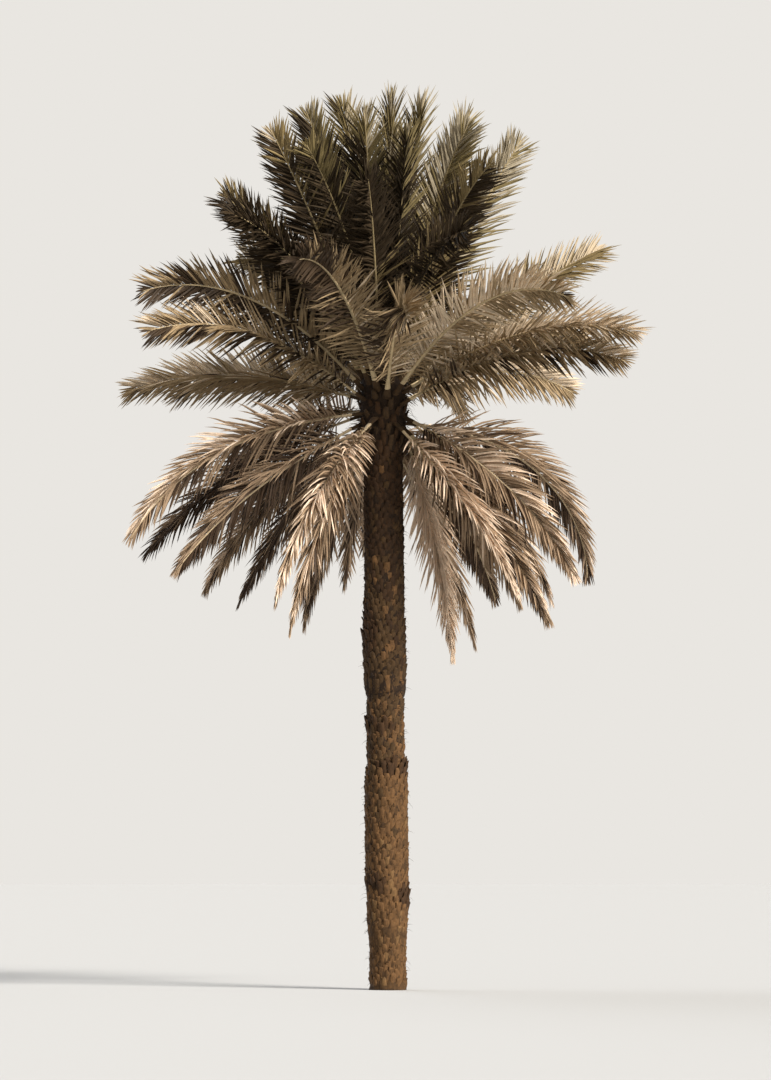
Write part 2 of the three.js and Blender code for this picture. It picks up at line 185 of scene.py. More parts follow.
class PalmColours(bpy.types.PropertyGroup):
    """Colours of bark, fibre, ribs and leaflets."""

    bark_dark: colour_property("Dark bark", "Stubs in the rings and knots of the trunk", "#3c2917")
    bark_high: colour_property("Upper bark", "Stubs high on the trunk", "#352414")
    bark_middle: colour_property("Middle bark", "Stubs half way up the trunk", "#42301b")
    bark_low: colour_property("Lower bark", "Redder stubs low on the trunk", "#5c4227")
    bark_pale: colour_property("Weathered bark", "Stubs that the sun has bleached", "#684e30")
    fibre: colour_property("Fibre", "Matted sheath fibre between the stubs", "#281c11")
    fibre_low: colour_property("Lower fibre", "Fibre low on the trunk, bleached by the sun", "#46321d")
    leaf_base: colour_property("Leaf base", "The broad foot of a rib", "#443320")
    spine: colour_property("Spine", "Straw-coloured spines on the foot of a rib", "#a8926d")
    rib_upright: colour_property("Upright rib", "Olive ribs among the youngest leaflets", "#978662")
    rib_rising: colour_property("Rising rib", "Olive straw ribs", "#ab9871")
    rib_spreading: colour_property("Spreading rib", "Waxy straw ribs", "#bfab86")
    rib_drooping: colour_property("Drooping rib", "Bleached straw ribs", "#c6b18f")
    # Each kind's dark, middle and pale leaflets are dealt out by tone, which holds painted light and shade
    # besides their own variation
    upright_1: colour_property("Upright, dark", "Shaded olive of the youngest leaflets", "#362b1b")
    upright_2: colour_property("Upright, middle", "Olive brown of young leaflets", "#756744")
    upright_3: colour_property("Upright, pale", "Grey-green bloom on young leaflets", "#9c9078")
    rising_1: colour_property("Rising, dark", "Olive brown of nearly grown leaflets", "#3b2f1f")
    rising_2: colour_property("Rising, middle", "Brown olive of nearly grown leaflets", "#86744f")
    rising_3: colour_property("Rising, pale", "Straw on nearly grown leaflets", "#b0a086")
    spreading_1: colour_property("Spreading, dark", "Olive brown of full grown leaflets", "#413324")
    spreading_2: colour_property("Spreading, middle", "Tan olive of full grown leaflets", "#968162")
    spreading_3: colour_property("Spreading, pale", "Straw on full grown leaflets", "#cfbca1")
    drooping_1: colour_property("Drooping, dark", "Brown of old leaflets", "#453527")
    drooping_2: colour_property("Drooping, middle", "Tan of drying leaflets", "#957e65")
    drooping_3: colour_property("Drooping, pale", "Rosy straw of dry leaflets", "#dec8b0")


class PalmSizes(bpy.types.PropertyGroup):
    """Sizes of what grows on the trunk, heart and ribs."""

    leaflets_in_spray: IntProperty(
        name="Leaflets in a spray", description="Leaflets for each one of the plain frond", default=9, min=1
    )
    leaflet_width: length_property("Leaflet width", "Greatest width of a leaflet, half folded", 0.042)
    leaflet_thickness: length_property("Leaflet thickness", "Thickness along the keel", 0.004)
    spine_length: length_property("Spine length", "Longest spine on the foot of a rib", 0.2)
    stub_count: IntProperty(name="Leaf stubs", description="Stubs up the trunk", default=1500, min=1)
    stub_length: length_property("Stub length", "From the trunk to the cut end", 0.12)
    stub_half_width: length_property("Stub half width", "At its foot", 0.05)
    strand_length: length_property("Strand length", "Longest loose strand of fibre", 0.22)


class PalmStage(bpy.types.PropertyGroup):
    """Camera, floor and light."""

    eye_across: FloatProperty(
        name="Camera across", description="To the right of the trunk's foot", default=-0.03, unit="LENGTH"
    )
    eye_distance: length_property("Camera distance", "From the trunk", 50)
    eye_height: length_property("Camera height", "Above the ground at the trunk", 1.42)
    aim_height: length_property("Aim height", "Height of the middle of the picture", 5.42)
    lens: FloatProperty(name="Lens", description="Focal length in millimetres", default=138, min=1)
    floor_radius: length_property("Floor radius", "Far enough to meet the backdrop", 420)
    floor: colour_property("Floor", "Plain pale floor", "#bebebc")
    backdrop: colour_property("Backdrop", "Plain and pale, with soft light from all round", "#e9e6e1")
    backdrop_strength: strength_property("Backdrop strength", "Strength of the light that it casts", 0.27)
    key: colour_property("Key light", "Soft light from the right of the front", "#fffaf4")
    key_strength: strength_property("Key strength", "Strength of the key light", 6.3)
    fill: colour_property("Fill light", "Weak light from behind on the left", "#f2f6ff")
    fill_strength: strength_property("Fill strength", "Strength of the fill light", 1.9)


def unit(vectors):
    """Vectors of length 1 that point the same ways."""
    return vectors / np.linalg.norm(vectors, axis=-1, keepdims=True)


def scatter(index, offset=0.0):
    """Numbers from 0 to 1 that spread evenly as the index grows."""
    return (index * GOLDEN + offset) % 1


def girth_at(height):
    """The trunk's radius at a height."""
    return np.interp(height, TRUNK_GIRTH[:, 0], TRUNK_GIRTH[:, 1])


def axis_at(height):
    """How far to the right the axis of trunk and heart stands at a height."""
    return TRUNK_LEAN * np.minimum(1, height / TRUNK_TOP)


def round_axis(azimuths, heights, radii):
    """Points at a radius round the axis of trunk and heart: (point, axis)."""
    return np.stack([axis_at(heights) + radii * np.cos(azimuths), radii * np.sin(azimuths), heights], axis=1)


@dataclass
class Frond:
    """A rib's course: from its base it starts at one slope and bends on down towards its tip."""

    index: int
    base: np.ndarray
    facing: float
    slope: float
    start: float
    bend: float
    twist: float
    age: float
    length: float
    curve: np.ndarray
    kind: str


def level_curve(bend):
    """The curve of a rib of length 1 that starts level: across and up at each step."""
    slopes = -bend * ((np.arange(CURVE_STEPS) + 0.5) / CURVE_STEPS) ** BEND_POWER
    steps = np.stack([np.cos(slopes), np.sin(slopes)], axis=1) / CURVE_STEPS
    return np.vstack([[0, 0], np.cumsum(steps, axis=0)])


def on_heart(points):
    """The nearest points of the heart's surface: a dome over its centre and a short column below it."""
    away = points[:, :2] - np.stack([axis_at(points[:, 2]), np.zeros(len(points))], axis=1)
    azimuth = np.arctan2(away[:, 1], away[:, 0])
    up = (points[:, 2] - HEART_CENTRE) / HEART_RISE
    climb = np.arctan2(up, np.linalg.norm(away, axis=1) / HEART_RADIUS)
    on_dome = climb > 0
    radius = np.where(on_dome, HEART_RADIUS * np.cos(climb), HEART_RADIUS)
    low = np.maximum(HEART_CENTRE - HEART_FALL, points[:, 2])
    height = np.where(on_dome, HEART_CENTRE + HEART_RISE * np.sin(climb), low)
    return round_axis(azimuth, height, radius)


def leaf_bases(tips):
    """Leaf bases: each starts on the side that its frond goes to, and crowded ones push each other apart."""
    way = unit(tips - CROWN_EYE)
    level = np.hypot(way[:, 0], way[:, 1])
    above = way[:, 2] > 0
    height = HEART_CENTRE + np.where(above, HEART_RISE, HEART_FALL) * way[:, 2]
    radius = HEART_RADIUS * np.where(above, level, 1)
    across, forward = radius * way[:, 0] / level, radius * way[:, 1] / level
    bases = np.stack([axis_at(height) + across, forward, height], axis=1)
    for _ in range(SPREAD_ROUNDS):
        apart = bases[:, None] - bases[None]
        distance = np.linalg.norm(apart, axis=2)
        np.fill_diagonal(distance, np.inf)
        lack = np.maximum(0, BASE_SPACING - distance) / 2
        pushes = (apart / distance[..., None] * lack[..., None]).sum(axis=1)
        bases = on_heart(bases + pushes)
    return bases


def outline_tips():
    """Tips of the fronds that make the outline, set forward or back by turns."""
    tips = []
    for i, (across, up, *_) in enumerate(OUTLINE_TIPS):
        behind_trunk = up < 0 and abs(across) < 1
        share = scatter(i) if behind_trunk else 2 * scatter(i) - 1
        near, far = (
            math.sqrt(max(0, reach * reach - across * across - up * up))
            for reach in (SHORTEST_REACH, LONGEST_REACH)
        )
        depth = (near + (far - near) * abs(share)) * math.copysign(1, share)
        tips.append(CROWN_EYE + [across, depth, up])
    return tips


def fill_tips(count, highest, lowest, facing):
    """Tips of the fronds that fill one side of the crown, from its highest slope down to its lowest."""
    tips = []
    for i in range(count):
        aim = highest + (lowest - highest) * i / (count - 1)
        if EMPTY_BAND[0] < aim < EMPTY_BAND[1]:
            aim = EMPTY_BAND[1]
        aim = math.radians(aim)
        turn = math.radians(facing + FILL_SPREAD * (2 * scatter(i, 0.37) - 1))
        level = math.cos(aim)
        way = np.array([level * math.cos(turn), level * math.sin(turn), math.sin(aim)])
        tips.append(CROWN_EYE + FILL_REACH * way)
    return tips


def frond_to(index, base, tip):
    """A frond whose outermost leaflets reach a tip."""
    chord = tip - base
    reach = np.linalg.norm(chord) - LEAFLET_BEYOND
    slope = math.atan2(chord[2], math.hypot(chord[0], chord[1]))
    extra = OUTLINE_TIPS[index][2] if index < len(OUTLINE_TIPS) and len(OUTLINE_TIPS[index]) > 2 else 0
    level = math.cos(slope) ** 2 * (1 - HANGING_STRAIGHTER * max(0, -math.sin(slope)))
    bend = math.radians(BEND_LEAST + BEND_MORE * level + BEND_VARIES * (scatter(index, 0.3) - 0.5) + extra)
    turned = 2 * scatter(index, 0.6) - 1
    curve = level_curve(bend)
    across, up = curve[-1]
    return Frond(
        index=index,
        base=base,
        facing=math.atan2(chord[1], chord[0]),
        slope=slope,
        start=slope - math.atan2(up, across),
        bend=bend,
        twist=math.copysign(TWIST_LEAST + TWIST_MORE * abs(turned), turned),
        age=min(1, max(0, (AGE_FROM - slope) / AGE_OVER)),
        length=reach / math.hypot(across, up),
        curve=curve,
        kind=next(name for name, least, _ in FROND_KINDS if slope > math.radians(least)),
    )


def grow_fronds():
    """All the fronds: those of the outline, and those behind and before it."""
    tips = np.array([*outline_tips(), *fill_tips(**BACK_FRONDS), *fill_tips(**FRONT_FRONDS)])
    return [frond_to(i, base, tips[i]) for i, base in enumerate(leaf_bases(tips))]


FRONDS = grow_fronds()


def fronds_of(kind):
    """The fronds of a kind."""
    return [frond for frond in FRONDS if frond.kind == kind]


def nodes_of(kind):
    """The frame's names for the fronds of a kind."""
    return sorted(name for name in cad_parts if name.startswith(f"{kind}_frond_"))


def rib_frames(frond, shares):
    """Points, ways on, sides and upper faces of a rib. Past either end it runs on straight."""
    inside = np.clip(shares, 0, 1)
    step = np.minimum(CURVE_STEPS - 1, np.floor(inside * CURVE_STEPS)).astype(int)
    part = (inside * CURVE_STEPS - step)[:, None]
    across, up = ((1 - part) * frond.curve[step] + part * frond.curve[step + 1]).T * frond.length
    out = np.array([math.cos(frond.facing), math.sin(frond.facing), 0])
    above = np.array([0, 0, 1])
    reach = across * math.cos(frond.start) - up * math.sin(frond.start)
    rise = across * math.sin(frond.start) + up * math.cos(frond.start)
    slope = (frond.start - frond.bend * inside ** BEND_POWER)[:, None]
    along = out * np.cos(slope) + above * np.sin(slope)
    point = frond.base + out * reach[:, None] + above * rise[:, None]
    point = point + along * ((shares - inside) * frond.length)[:, None]
    level_side = np.array([-out[1], out[0], 0])
    turn = (frond.twist * np.sqrt(inside))[:, None]
    side = level_side * np.cos(turn) + np.cross(along, level_side) * np.sin(turn)
    return point, along, side, np.cross(along, side)


def leaflet_length(blade, age):
    """Leaflets grow longer over the first fifth of the blade and shorter over its last two thirds, most on
    an old frond."""
    opening = np.minimum(1, LEAFLET_FIRST + blade / LEAFLET_FULL_AT)
    past = np.maximum(0, (blade - LEAFLET_FULL_AT) / (1 - LEAFLET_FULL_AT))
    return LEAFLET_LENGTH * opening * (1 - (LEAFLET_LOSS + OLD_LOSS * age) * past ** LOSS_POWER)


def leaflet_angle(blade, age):
    """Leaflets lean on towards the tip, and those of an old frond close in to its rib."""
    angle = LEAFLET_ANGLE_LOW + (LEAFLET_ANGLE_TIP - LEAFLET_ANGLE_LOW) * blade
    return angle * (1 - OLD_CLOSING * age * blade)


def loft_faces(rings, sides, pointed=False):
    """Faces of one closed form drawn through rings of points, with a point or a flat end. The flat
    ends are the first face and, where there is no point, the last."""
    faces = [list(range(sides - 1, -1, -1))]
    for low in range(0, (rings - 1) * sides, sides):
        for i in range(sides):
            j = (i + 1) % sides
            faces.append([low + i, low + j, low + sides + j, low + sides + i])
    last = (rings - 1) * sides
    if pointed:
        faces += [[last + i, last + (i + 1) % sides, last + sides] for i in range(sides)]
    else:
        faces.append([last + i for i in range(sides)])
    return faces


def piece(name, copies, faces, materials, slots=0, smooth=False, replaces=()):
    """One mesh of many copies of a form. copies is (copy, point, axis), slots is a material for each
    copy or for each copy and face, and smooth tells whether the form is smooth between its flat ends."""
    count, points = copies.shape[:2]
    starts = np.arange(count)[:, None] * points
    listed = []
    for face in faces:
        listed += (starts + np.array(face)).tolist()
    mesh = bpy.data.meshes.new(name)
    mesh.from_pydata(copies.reshape(-1, 3).tolist(), [], listed)
    for material in materials:
        mesh.materials.append(material)
    slots = np.asarray(slots)
    if slots.ndim < 2:
        slots = np.broadcast_to(slots.reshape(-1, 1), (count, len(faces)))
    mesh.polygons.foreach_set("material_index", slots.T.reshape(-1).astype(np.int32))
    is_smooth = np.zeros((len(faces), count), bool)
    is_smooth[1:-1] = smooth
    mesh.polygons.foreach_set("use_smooth", is_smooth.reshape(-1))
    mesh.validate()
    mesh.update()
    made = bpy.data.objects.new(name, mesh)
    bpy.context.scene.collection.objects.link(made)
    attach(made, BODY)
    if replaces:
        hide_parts(*replaces)
    return made


def turns_of(sides):
    """The angles at which a round form of so many sides has its points."""
    return np.arange(sides) / sides * TURN


def ring_outline(sides):
    """An outline round a circle of radius 1: (side, axis)."""
    turns = turns_of(sides)
    return np.stack([np.cos(turns), np.sin(turns)], axis=1)


def outward(azimuths):
    """Level ways out from the trunk's axis: (way, axis)."""
    return np.stack([np.cos(azimuths), np.sin(azimuths), 0 * azimuths], axis=1)


# Waves run up the surface at up to so many times the length of the shortest, and the sum of many is seldom
# higher than so many times the root of their count
LONGEST_WAVE = 6
WAVES_PEAK = 1.6


def waves(angle, height, seed, count, most_turns, shortest):
    """Roughness from about -1 to 1 on a round surface: many crossing waves that close round the turn."""
    rng = np.random.default_rng(seed)
    total = np.zeros(np.broadcast(angle, height).shape)
    for _ in range(count):
        turns = rng.integers(2, most_turns)
        rate = TURN / (shortest * (1 + (LONGEST_WAVE - 1) * rng.random()))
        total += np.sin(turns * angle + rng.choice([-1, 1]) * rate * height + TURN * rng.random())
    return total / math.sqrt(count) / WAVES_PEAK


def round_form(heights, radii, sides):
    """Rings of points round the trunk's leaning axis: (ring, side, axis). radii is (ring, side)."""
    angle = turns_of(sides)
    x = axis_at(heights)[:, None] + radii * np.cos(angle)
    y = radii * np.sin(angle)
    return np.stack([x, y, np.broadcast_to(heights[:, None], radii.shape)], axis=2)


def sections(points, sides, overs, half_widths, half_thicks, outline):
    """Rings of points that repeat an outline: points, sides and overs are (..., ring, axis), and a
    single side and over may serve all the rings of a form."""
    across = (half_widths[..., None] * outline[:, 0])[..., None]
    upward = (half_thicks[..., None] * outline[:, 1])[..., None]
    return points[..., None, :] + across * sides[..., None, :] + upward * overs[..., None, :]


def per_metre(millimetres):
    """The scale of a pattern whose features are that wide."""
    return 1000 / millimetres


def node(tree, kind, inputs=None, **settings):
    """Adds a node with its settings. An input takes a value, or a link where it is given a socket."""
    made = tree.nodes.new(kind)
    for name, value in settings.items():
        setattr(made, name, value)
    for key, value in (inputs or {}).items():
        if isinstance(value, bpy.types.NodeSocket):
            tree.links.new(value, made.inputs[key])
        else:
            made.inputs[key].default_value = value
    return made


def shade(colour, factor):
    """A colour made darker or paler by a factor."""
    return tuple(min(1.0, c * factor) for c in tuple(colour)[:3]) + (1.0,)


# The two patterns of a plant's surface add up to a value between these nearly everywhere
PATTERN_LOW = 0.72
PATTERN_HIGH = 1.28
# How far its roughness goes either way along the grain
ROUGHNESS_VARIES = 0.1


def plant_material(name, colour, patch, grain, stretch, darker, paler, roughness, relief):
    """A plant's surface in one colour that varies a little in patches and along a stretched grain.
    patch and grain are in millimetres, stretch squeezes the grain's scale along each axis, darker and
    paler are the factors at the pattern's two ends, and relief is in metres."""
    material = bpy.data.materials.new(name)
    material.use_nodes = True
    tree = material.node_tree
    tree.nodes.clear()
    place = node(tree, "ShaderNodeTexCoord").outputs["Object"]
    drawn = node(tree, "ShaderNodeMapping", {"Vector": place, "Scale": stretch}).outputs["Vector"]
    patches = node(
        tree, "ShaderNodeTexNoise",
        {"Vector": place, "Scale": per_metre(patch), "Detail": 3.0, "Roughness": 0.6},
    )
    grains = node(
        tree, "ShaderNodeTexNoise",
        {"Vector": drawn, "Scale": per_metre(grain), "Detail": 4.0, "Roughness": 0.65},
    )
    both = node(
        tree, "ShaderNodeMath", {0: patches.outputs["Fac"], 1: grains.outputs["Fac"]}, operation="ADD"
    )
    spread = node(
        tree, "ShaderNodeMapRange",
        {"Value": both.outputs[0], "From Min": PATTERN_LOW, "From Max": PATTERN_HIGH},
    )
    blend = node(
        tree, "ShaderNodeMix", {0: spread.outputs[0], 6: shade(colour, darker), 7: shade(colour, paler)},
        data_type="RGBA",
    )
    dull = node(
        tree, "ShaderNodeMapRange",
        {"Value": grains.outputs["Fac"], "From Min": 0.3, "From Max": 0.7,
         "To Min": roughness - ROUGHNESS_VARIES, "To Max": min(1.0, roughness + ROUGHNESS_VARIES)},
    )
    bump = node(
        tree, "ShaderNodeBump", {"Height": grains.outputs["Fac"], "Strength": 0.6, "Distance": relief}
    )
    skin = node(
        tree, "ShaderNodeBsdfPrincipled",
        {"Base Color": blend.outputs[2], "Roughness": dull.outputs[0], "Normal": bump.outputs[0],
         "Specular IOR Level": 0.3, "IOR": 1.45},
    )
    node(tree, "ShaderNodeOutputMaterial", {"Surface": skin.outputs[0]})
    return material


def bark_material(name, colour):
    """Weathered leaf-base wood, split by the weather: matt, with dark cracks that run up the stub."""
    return plant_material(
        name, colour, patch=90, grain=14, stretch=(1, 1, 0.3), darker=0.55, paler=1.45,
        roughness=0.88, relief=0.006,
    )


def fibre_material(name, colour):
    """Sheath fibre, a coarse natural cloth: matt, with fine threads crossing up the trunk."""
    return plant_material(
        name, colour, patch=70, grain=8, stretch=(1, 1, 0.16), darker=0.5, paler=1.5,
        roughness=0.92, relief=0.004,
    )


def rib_material(name, colour):
    """A living midrib, smooth under a thin wax: soft gloss, with faint streaks along it."""
    return plant_material(
        name, colour, patch=120, grain=16, stretch=(1, 1, 0.4), darker=0.72, paler=1.2,
        roughness=0.5, relief=0.0015,
    )


def leaflet_material(name, colour):
    """A folded leathery leaflet, dusty with bloom: dull gloss, and a tone that drifts along the blade."""
    return plant_material(
        name, colour, patch=160, grain=20, stretch=(1, 1, 0.5), darker=0.74, paler=1.26,
        roughness=0.62, relief=0.002,
    )


# The ways that the lights shine, and how wide each looks from the ground, in degrees
KEY_WAY = (-0.85, 0.8, -0.76)
KEY_SOFTNESS = 24
FILL_WAY = (0.8, -0.75, -0.7)
FILL_SOFTNESS = 60
FLOOR_SIDES = 96


class PALM_OT_stage(bpy.types.Operator):
    """Sets a camera low and far off in front of the palm, a pale floor and backdrop, and soft light"""

    bl_idname = "palm.stage"
    bl_label = "Stage"

    def execute(self, context):
        stage = context.scene.palm_stage
        scene = context.scene
        scene.view_settings.view_transform = "Standard"
        camera = bpy.data.objects.new("camera", bpy.data.cameras.new("camera"))
        scene.collection.objects.link(camera)
        scene.camera = camera
        camera.data.lens = stage.lens
        camera.data.clip_end = 4 * stage.floor_radius
        camera.location = (stage.eye_across, -stage.eye_distance, stage.eye_height)
        aim = Vector((stage.eye_across, 0, stage.aim_height))
        camera.rotation_euler = (aim - camera.location).to_track_quat("-Z", "Y").to_euler()
        self.shine("key_light", stage.key, stage.key_strength, KEY_SOFTNESS, KEY_WAY)
        self.shine("fill_light", stage.fill, stage.fill_strength, FILL_SOFTNESS, FILL_WAY)
        self.hang_backdrop(scene, stage)
        self.lay_floor(scene, stage)
        return {"FINISHED"}

    def shine(self, name, colour, strength, softness, way):
        """A far light that shines one way."""
        light = bpy.data.lights.new(name, "SUN")
        light.energy = strength
        light.color = tuple(colour)[:3]
        light.angle = math.radians(softness)
        made = bpy.data.objects.new(name, light)
        bpy.context.scene.collection.objects.link(made)
        made.rotation_euler = Vector(way).to_track_quat("-Z", "Y").to_euler()

    def hang_backdrop(self, scene, stage):
        """The backdrop is seen at its full brightness and casts less light than that."""
        world = bpy.data.worlds.new("pale_backdrop")
        world.use_nodes = True
        tree = world.node_tree
        tree.nodes.clear()
        seen = node(tree, "ShaderNodeBackground", {"Color": stage.backdrop, "Strength": 1.0})
        cast = node(
            tree, "ShaderNodeBackground", {"Color": stage.backdrop, "Strength": stage.backdrop_strength}
        )
        camera_ray = node(tree, "ShaderNodeLightPath").outputs["Is Camera Ray"]
        both = node(tree, "ShaderNodeMixShader", {0: camera_ray, 1: cast.outputs[0], 2: seen.outputs[0]})
        node(tree, "ShaderNodeOutputWorld", {"Surface": both.outputs[0]})
        scene.world = world

    def lay_floor(self, scene, stage):
        """A round matt floor, level with the palm's foot."""
        mesh = bpy.data.meshes.new("floor")
        rim = outward(turns_of(FLOOR_SIDES)) * stage.floor_radius
        mesh.from_pydata(rim.tolist(), [], [list(range(len(rim)))])
        plaster = bpy.data.materials.new("matt_studio_floor")
        plaster.use_nodes = True
        plaster.node_tree.nodes.clear()
        skin = node(
            plaster.node_tree, "ShaderNodeBsdfPrincipled",
            {"Base Color": stage.floor, "Roughness": 0.95, "Specular IOR Level": 0.1},
        )
        node(plaster.node_tree, "ShaderNodeOutputMaterial", {"Surface": skin.outputs[0]})
        mesh.materials.append(plaster)
        floor = bpy.data.objects.new("floor", mesh)
        scene.collection.objects.link(floor)


# The trunk's core: its rings and sides, how far it lies inside the girth, how high its rough swells and
# its finer ridges are, and below what height the sun has bleached it, with what blur
CORE_RINGS = 330
CORE_SIDES = 112
CORE_INSET = 0.012
CORE_SWELL = 0.008
CORE_RIDGE = 0.006
BLEACHED_BELOW = 3
BLEACHED_BLUR = 0.7


class PALM_OT_trunk(bpy.types.Operator):
    """Makes the trunk's core: matted fibre in ridges between the stubs, from the flat cut at the ground"""

    bl_idname = "palm.trunk"
    bl_label = "Trunk core"

    def execute(self, context):
        colours = context.scene.palm_colours
        heights = np.linspace(0, TRUNK_TOP, CORE_RINGS)
        angle, height = turns_of(CORE_SIDES), heights[:, None]
        swells = CORE_SWELL * waves(angle, height, seed=3, count=14, most_turns=9, shortest=0.12)
        ridges = CORE_RIDGE * waves(angle, height, seed=5, count=18, most_turns=40, shortest=0.25)
        radii = girth_at(heights)[:, None] - CORE_INSET + swells + ridges
        copies = round_form(heights, radii, CORE_SIDES).reshape(1, -1, 3)
        faces = loft_faces(CORE_RINGS, CORE_SIDES)
        materials = [
            fibre_material("palm_fibre_matted", colours.fibre),
            fibre_material("palm_fibre_matted_bleached", colours.fibre_low),
        ]
        blur = np.random.default_rng(7).normal(0, BLEACHED_BLUR, len(faces) - 2)
        bleached = np.repeat(heights[:-1], CORE_SIDES) + blur < BLEACHED_BELOW
        slots = np.concatenate([[1], bleached, [0]])
        piece(
            "trunk_core", copies, faces, materials, slots[None], smooth=True, replaces=["trunk"]
        )
        return {"FINISHED"}


# A leaf base in section: broad and flat, and thinner towards its two edges
STUB_SIDES = 8
STUB_OUTLINE = ring_outline(STUB_SIDES)
STUB_OUTLINE[:, 1] *= 0.55 + 0.45 * STUB_OUTLINE[:, 1] ** 2

# A stub from inside the trunk to its cut end: where its rings stand as shares of its length, and how it
# narrows and thins. Its half thickness is a share of its half width, and its cut end is the more ragged
STUB_STEPS = np.array([-0.35, 0.1, 0.5, 0.85, 1.0])
STUB_NARROWING = np.array([1.0, 1.0, 0.86, 0.72, 0.66])
STUB_THINNING = np.array([1.2, 1.1, 0.95, 0.85, 0.7])
STUB_FLATNESS = 0.34
STUB_ROUGHNESS = 0.0035
STUB_RAGGEDNESS = 0.012
STUB_FACES = loft_faces(len(STUB_STEPS), STUB_SIDES)


def stub_copies(azimuths, heights, radii, tilts, lengths, half_widths, seed):
    """Stubs of old leaf bases that point up and a little out, cut off rough: (stub, point, axis)."""
    rng = np.random.default_rng(seed)
    count = len(azimuths)
    out = outward(azimuths)
    side = np.stack([np.sin(azimuths), -np.cos(azimuths), 0 * azimuths], axis=1)
    above = np.array([0, 0, 1.0])
    along = out * np.sin(tilts)[:, None] + above * np.cos(tilts)[:, None]
    over = np.cross(along, side)
    foot = round_axis(azimuths, heights, radii)
    middles = foot[:, None] + along[:, None] * (lengths[:, None] * STUB_STEPS)[..., None]
    widths = half_widths[:, None] * STUB_NARROWING
    thicks = STUB_FLATNESS * half_widths[:, None] * STUB_THINNING
    rings = sections(middles, side[:, None], over[:, None], widths, thicks, STUB_OUTLINE)
    wrapped = (widths[..., None] * STUB_OUTLINE[:, 0]) ** 2 / (2 * radii[:, None, None])
    rings = rings - wrapped[..., None] * out[:, None, None]
    rings = rings + rng.normal(0, STUB_ROUGHNESS, rings.shape)
    ragged = rng.normal(0, STUB_RAGGEDNESS, (count, STUB_SIDES))
    rings[:, -1] += ragged[..., None] * along[:, None]
    return rings.reshape(count, -1, 3)


def mark_at(azimuths, heights):
    """How much longer stubs are where a mark of the trunk lies: 0 away from all of them. A mark fades
    out from half its reach to half as far again."""
    most = np.zeros(len(azimuths))
    for height, side, round_by, up_by, longer in TRUNK_MARKS:
        turned = np.abs((np.degrees(azimuths) - side + 180) % 360 - 180)
        beside = np.clip(1.5 - turned / round_by, 0, 1)
        level = np.clip(1.5 - np.abs(heights - height) / up_by, 0, 1)
        most = np.maximum(most, beside * level * longer)
    return most


# Stubs of the trunk: the height of the lowest and how far up from it they go, how deep their feet stand in
# the girth, their tilts in degrees and what a mark adds, their lengths and half widths as shares of the
# usual, the heights where their bark changes and with what blur, the share that is weathered, and how
# strong a mark makes them dark. A pair is the least and how much more it may be
LOWEST_STUB = 0.03
STUBS_RUN = TRUNK_TOP - 0.1
STUB_DEPTH = 0.03
STUB_TILT = (8, 6)
STUB_TILT_MARKED = 10
STUB_LENGTHS = (0.8, 0.4)
STUB_WIDTHS = (0.85, 0.3)
BARK_CHANGES = [4.9, 2.9]
BARK_BLUR = 0.6
WEATHERED_SHARE = 0.1
DARK_FROM = 0.3


def varied(rng, count, least, more):
    """Random values from the least up to so much more."""
    return least + more * rng.random(count)


class PALM_OT_trunk_stubs(bpy.types.Operator):
    """Sets the stubs of old leaf bases up the trunk, each a golden turn on from the last"""

    bl_idname = "palm.trunk_stubs"
    bl_label = "Trunk leaf stubs"

    def execute(self, context):
        colours = context.scene.palm_colours
        sizes = context.scene.palm_sizes
        count = sizes.stub_count
        index = np.arange(count)
        heights = LOWEST_STUB + STUBS_RUN * index / count
        azimuths = index * TURN * GOLDEN
        rng = np.random.default_rng(11)
        marked = mark_at(azimuths, heights)
        lengths = sizes.stub_length * (varied(rng, count, *STUB_LENGTHS) + marked)
        tilts = np.radians(varied(rng, count, *STUB_TILT) + STUB_TILT_MARKED * marked)
        widths = sizes.stub_half_width * varied(rng, count, *STUB_WIDTHS)
        radii = girth_at(heights) - STUB_DEPTH
        copies = stub_copies(azimuths, heights, radii, tilts, lengths, widths, seed=12)
        copies[..., 2] = np.maximum(copies[..., 2], 0)
        blurred = heights + rng.normal(0, BARK_BLUR, count)
        slots = np.digitize(blurred, BARK_CHANGES) + 1
        slots[rng.random(count) > 1 - WEATHERED_SHARE] += 1
        slots[marked > DARK_FROM] = 0
        materials = [
            bark_material("palm_bark_dark_knots", colours.bark_dark),
            bark_material("palm_bark_upper_stubs", colours.bark_high),
            bark_material("palm_bark_middle_stubs", colours.bark_middle),
            bark_material("palm_bark_lower_stubs", colours.bark_low),
            bark_material("palm_bark_weathered_stubs", colours.bark_pale),
        ]
        piece(
            "trunk_leaf_stubs", copies, STUB_FACES, materials, slots,
            smooth=True, replaces=["trunk"],
        )
        return {"FINISHED"}


# The heart's fibre: its rings and sides, how far its foot reaches into the trunk, its radius at two heights
# of the column, how far inside the dome it lies and up to what share of its rise, and how high its rough
# swells and its finer threads are
FIBRE_RINGS = 84
FIBRE_SIDES = 96
FIBRE_FOOT = 0.02
COLUMN_HEIGHTS = [TRUNK_TOP, 6.72]
COLUMN_RADII = [0.238, 0.272]
FIBRE_INSET = 0.028
FIBRE_TOP = 0.98
FIBRE_SWELL = 0.01
FIBRE_THREAD = 0.005

# Stubs round the heart's column: how many, the lowest height and how far up from it they go, the radius of
# their feet at two heights, how far out and up their middles are and how clear of a rib's base they stand,
# their tilts, lengths and half widths as on the trunk, and the share that is fresh
HEART_STUBS = 90
HEART_STUBS_FROM = 6.4
HEART_STUBS_RUN = 0.72
HEART_STUB_HEIGHTS = [6.4, 6.75]
HEART_STUB_RADII = [0.222, 0.25]
HEART_STUB_OUT = 0.05
HEART_STUB_UP = 0.08
RIB_CLEARANCE = 0.085
HEART_STUB_TILT = (16, 12)
HEART_STUB_LENGTHS = (0.95, 0.45)
HEART_STUB_WIDTHS = (0.8, 0.25)
FRESH_SHARE = 0.4


